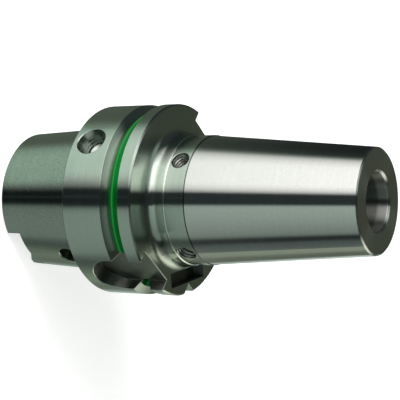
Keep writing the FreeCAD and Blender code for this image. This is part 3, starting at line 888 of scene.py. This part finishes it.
@dataclass
class Studio:
    """Floor, surroundings, lamps and camera.

    Attributes:
        floor_height: Height of the floor.
        azimuth: Where the camera stands, round the chuck's axis.
        distance: Distance of the camera from the axis.
        rise: Height of the camera above the contact face.
        tilt: How far the camera looks down.
        roll: How far the camera is turned beyond lying on its side.
        lens: Focal length.
        sensor: Width of the sensor.
        stripes: The lights that the steel reflects.
        first_rise: Elevations between which the first share of low turns into level.
        first_share: That share.
        second_rise: Elevations between which the rest does.
        high_rise: Elevations between which level turns into high.
        overhead_rise: Elevations between which high turns into overhead.
        floor_reach: Half the floor's side.
        floor_dark: The floor's darker colour.
        floor_pale: The floor's paler colour.
        floor_glow: Light that the floor gives to the camera alone.
        aim_height: Height of the point that the lamps shine at.
    """

    floor_height: float
    azimuth: float = -53.7
    distance: float = 350.39 * MM
    rise: float = 238.43 * MM
    tilt: float = 30.419
    roll: float = 0.4845
    lens: float = 112.07
    sensor: float = 36.0
    stripes: Stripe = Stripe()
    first_rise: Span = (-40.0, -32.0)
    first_share: float = 0.35
    second_rise: Span = (-30.0, -22.5)
    high_rise: Span = (-8.0, 8.0)
    overhead_rise: Span = (43.0, 52.0)
    floor_reach: float = 1.2
    floor_dark: Colour = (0.86, 0.86, 0.86)
    floor_pale: Colour = (0.90, 0.90, 0.90)
    floor_glow: float = 0.62
    aim_height: float = 30 * MM

    def _toward_camera(self) -> Vector:
        """Level direction from the axis to the camera."""
        a = math.radians(self.azimuth)
        return Vector((math.cos(a), math.sin(a), 0.0))

    def _picture_up(self) -> Vector:
        """Level direction that is up in the picture."""
        a = math.radians(self.azimuth)
        return Vector((math.sin(a), -math.cos(a), 0.0))

    def camera(self) -> bpy.types.Object:
        """Stands the camera where the photograph was taken, lying on its side, and returns it."""
        out, up = self._toward_camera(), self._picture_up()
        t = math.radians(self.tilt)
        right = -math.sin(t) * out + math.cos(t) * Vector((0, 0, 1))
        turn = Matrix((right, up, right.cross(up))).transposed().to_4x4()
        data = bpy.data.cameras.new("camera")
        data.lens, data.sensor_width = self.lens, self.sensor
        data.clip_start, data.clip_end = 0.01, 20.0
        made = bpy.data.objects.new("camera", data)
        made.matrix_world = (Matrix.Translation(out * self.distance + Vector((0, 0, self.rise)))
                             @ turn @ Matrix.Rotation(math.radians(self.roll), 4, "Z"))
        bpy.context.scene.collection.objects.link(made)
        bpy.context.scene.camera = made
        return made

    def surroundings(self) -> None:
        """Builds the world: stripes round the chuck for the light, plain white for the camera."""
        world = bpy.data.worlds.new("studio")
        bpy.context.scene.world = world
        world.use_nodes = True
        tree = NodeTree(world.node_tree)
        way = tree.node("ShaderNodeTexCoord", output="Generated")

        def along(direction: Vector) -> Socket:
            """How far the way points along a direction."""
            inputs = {0: way, 1: tuple(direction)}
            return tree.node("ShaderNodeVectorMath", {"operation": "DOT_PRODUCT"}, inputs, "Value")

        out, up, rise = along(self._toward_camera()), along(self._picture_up()), along(Vector((0, 0, 1)))
        turn = tree.node("ShaderNodeMath", {"operation": "ARCTAN2"}, {0: up, 1: out})
        height = tree.node("ShaderNodeMath", {"operation": "ARCSINE"}, {0: rise}) * DEGREES_IN_RADIAN
        lean = tree.node("ShaderNodeMath", {"operation": "ARCSINE"}, {0: up}) * DEGREES_IN_RADIAN

        def ring(stripes: Stripes, angle: Socket = turn * DEGREES_IN_RADIAN) -> Socket:
            """A ramp of the stripes over an angle."""
            stops = [(place / 360 + 0.5, tuple(level * part for part in tint.value))
                     for place, tint, level in stripes]
            return tree.node("ShaderNodeValToRGB", {"stops": stops}, {0: angle / 360 + 0.5})

        first = height.between(*self.first_rise) * self.first_share
        rest = height.between(*self.second_rise) * (1 - self.first_share)
        room = tree.mix(first + rest, ring(self.stripes.low), ring(self.stripes.level))
        room = tree.mix(height.between(*self.high_rise), room, ring(self.stripes.high))
        room = tree.mix(height.between(*self.overhead_rise), room, ring(self.stripes.overhead, lean))
        light = tree.node("ShaderNodeBackground", {}, {"Color": room, "Strength": 1.0})
        white = tree.node("ShaderNodeBackground", {}, {"Color": WHITE_LIGHT, "Strength": 1.0})
        seen = tree.node("ShaderNodeLightPath", output="Is Camera Ray")
        both = tree.node("ShaderNodeMixShader", {}, {0: seen, 1: light, 2: white})
        tree.node("ShaderNodeOutputWorld", {}, {"Surface": both})

    def floor(self) -> bpy.types.Object:
        """Lays the pale floor, which keeps the chuck's shadow, and returns it."""
        corners = np.array([[-1, -1, 0], [1, -1, 0], [1, 1, 0], [-1, 1, 0]], float) * self.floor_reach
        corners[:, 2] = self.floor_height
        mesh = bpy.data.meshes.new("floor")
        mesh.from_pydata(corners.tolist(), [], [[0, 1, 2, 3]])
        material, tree = new_material("floor_white")
        point, *_ = tree.place()
        cloud = tree.noise(point, scale=9.0, detail=2.0, rough=0.5)
        pale = tree.node("ShaderNodeBsdfPrincipled", {}, {
            "Base Color": tree.mix(cloud, self.floor_dark, self.floor_pale), "Roughness": 0.8})
        glow = tree.node("ShaderNodeEmission", {}, {"Color": WHITE_LIGHT, "Strength": self.floor_glow})
        seen = tree.node("ShaderNodeLightPath", output="Is Camera Ray")
        bright = tree.node("ShaderNodeAddShader", {}, {0: pale, 1: glow})
        tree.surface(tree.node("ShaderNodeMixShader", {}, {0: seen, 1: pale, 2: bright}))
        mesh.materials.append(material)
        floor = bpy.data.objects.new("floor", mesh)
        floor.visible_glossy = False
        bpy.context.scene.collection.objects.link(floor)
        return floor

    def lamp(self, name: str, way: Vector, distance: float, size: float, power: float) -> None:
        """Hangs one soft lamp that shines at the chuck's middle.

        Args:
            name: The lamp's name.
            way: Direction from the chuck to the lamp.
            distance: How far off it hangs.
            size: Side of its square face.
            power: Its power in watts.
        """
        data = bpy.data.lights.new(name, "AREA")
        data.size, data.energy = size, power
        lamp = bpy.data.objects.new(name, data)
        lamp.location = Vector((0, 0, self.aim_height)) + way.normalized() * distance
        lamp.rotation_euler = way.to_track_quat("Z", "Y").to_euler()
        lamp.visible_camera = lamp.visible_glossy = False
        bpy.context.scene.collection.objects.link(lamp)

    def build(self) -> None:
        """Sets up the whole studio."""
        self.camera()
        self.surroundings()
        self.floor()
        out, up, top = self._toward_camera(), self._picture_up(), Vector((0, 0, 1))
        self.lamp("key", way=0.6 * out + 1.0 * up + 0.8 * top, distance=0.9, size=0.5, power=7.0)
        self.lamp("fill", way=out - 0.8 * up + 0.5 * top, distance=0.9, size=0.6, power=2.5)
        bpy.context.scene.view_settings.view_transform = "Standard"


@dataclass
class Chuck:
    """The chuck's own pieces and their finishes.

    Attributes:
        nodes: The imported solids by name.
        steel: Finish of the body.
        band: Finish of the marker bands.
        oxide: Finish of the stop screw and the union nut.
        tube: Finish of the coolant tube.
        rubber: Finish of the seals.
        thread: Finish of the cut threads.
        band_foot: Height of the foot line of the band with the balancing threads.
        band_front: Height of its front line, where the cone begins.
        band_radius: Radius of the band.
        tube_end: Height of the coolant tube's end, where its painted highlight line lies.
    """

    nodes: dict[str, bpy.types.Object]
    steel: TurnedSteel = TurnedSteel()
    band: BandLacquer = BandLacquer()
    oxide: DarkSteel = DarkSteel()
    tube: TurnedSteel = TurnedSteel(colour=(0.55, 0.55, 0.53), ground=(0.55, 0.55, 0.53),
                                    roughness=0.3, ground_roughness=0.3)
    rubber: SealRubber = SealRubber()
    thread: DarkSteel = DarkSteel(colour=(0.30, 0.31, 0.29), worn=(0.62, 0.62, 0.58), roughness=0.26)
    band_foot: float = 31.7 * MM
    band_front: float = 39.0 * MM
    band_radius: float = 21.1 * MM
    tube_end: float = -26.7 * MM

    def dress(self) -> None:
        """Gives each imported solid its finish."""
        steel = self.steel.material("turned_steel", self.band_front, self.band_foot)
        green = self.band.material("band_green")
        oxide = self.oxide.material("black_oxide")
        tube = self.tube.material("tube_steel", self.band_front, self.tube_end)
        rubber = self.rubber.material("seal_rubber")
        finishes = {
            "chuck_body": steel, "marker_band_left": green, "marker_band_right": green,
            "stop_screw": oxide, "tube_nut": oxide, "coolant_tube": tube,
            "tube_seal_front": rubber, "tube_seal_rear": rubber}
        for name, finish in finishes.items():
            for slot in self.nodes[name].material_slots:
                slot.material = finish
            log.info("%s: dressed in %s", name, finish.name)

    def build(self) -> None:
        """Dresses the solids and adds the threads."""
        self.dress()
        middle = (self.band_foot + self.band_front) / 2
        threads = BalanceThreads(height=middle, mouth=self.band_radius)
        threads.build(self.thread.material("cut_thread"))


def main() -> None:
    """Builds the chuck's looks and the studio."""
    logging.basicConfig(level=logging.INFO, format="%(name)s: %(message)s")
    Chuck(nodes=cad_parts).build()
    Studio(floor_height=cad_box[0].z).build()


if __name__ == "__main__":
    main()
